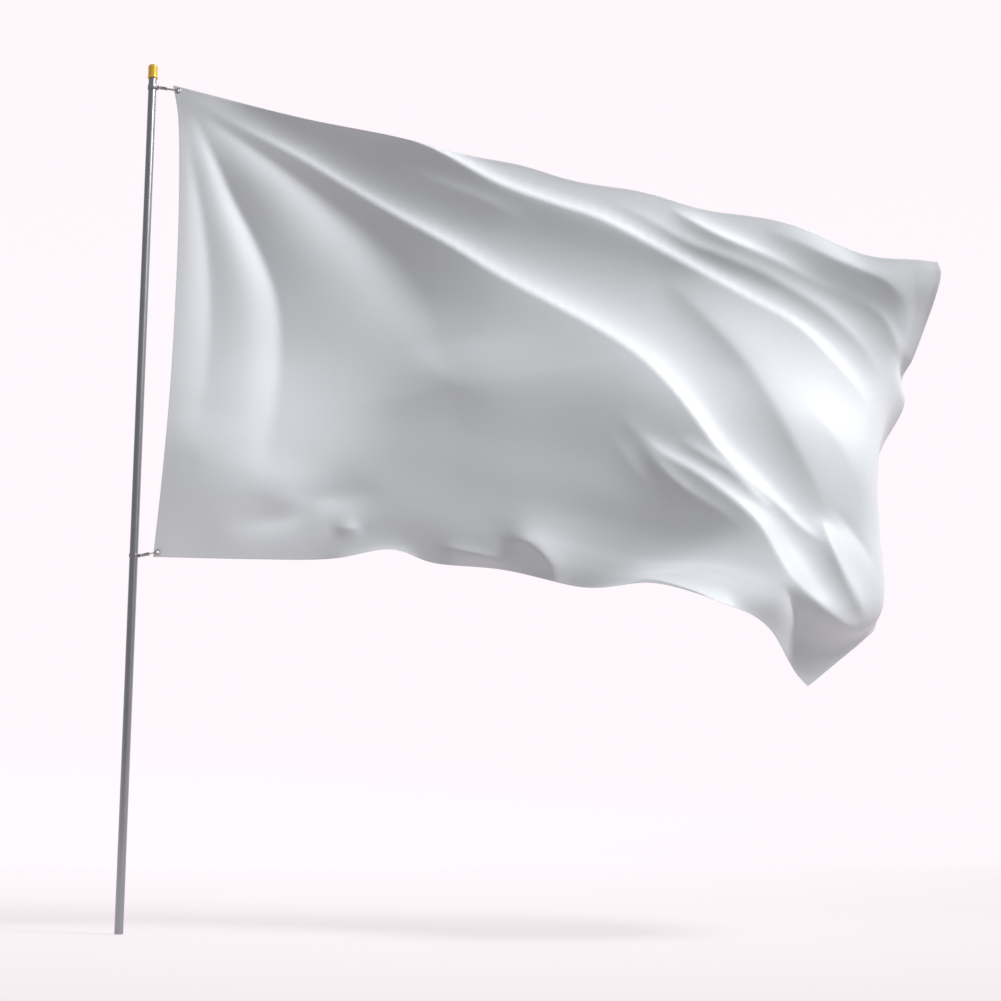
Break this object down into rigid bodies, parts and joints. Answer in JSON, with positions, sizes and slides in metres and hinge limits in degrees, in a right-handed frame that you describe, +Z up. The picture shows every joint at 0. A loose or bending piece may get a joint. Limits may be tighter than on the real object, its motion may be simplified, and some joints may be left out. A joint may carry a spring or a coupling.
{
  "type": "satin flag on a pole",
  "caption": "Plain white satin flag flying in folds from a slim metal pole, held at its two hoist corners by eyelets and snap hooks.",
  "frame": {"origin": "centre of the pole's flat foot", "axes": "+Z up the pole, +X away from the pole along the flag's fly, -Y towards the side that the picture shows"},
  "size_m": [2.4621, 0.5325, 2.658],
  "materials": {
    "cloth": "smooth white satin",
    "pole": "satin",
    "cap": "polished gold",
    "fittings": "polished"
  },
  "bodies": {
    "root": {"pole": "pole", "pole_cap": "cap", "collar_upper": "fittings", "collar_lower": "fittings", "hook_barrel_upper": "fittings", "hook_barrel_lower": "fittings", "hook_wire_upper": "fittings", "hook_wire_lower": "fittings", "eyelet_upper": "fittings", "eyelet_lower": "fittings", "flag_cloth": "cloth"}
  },
  "joints": []
}
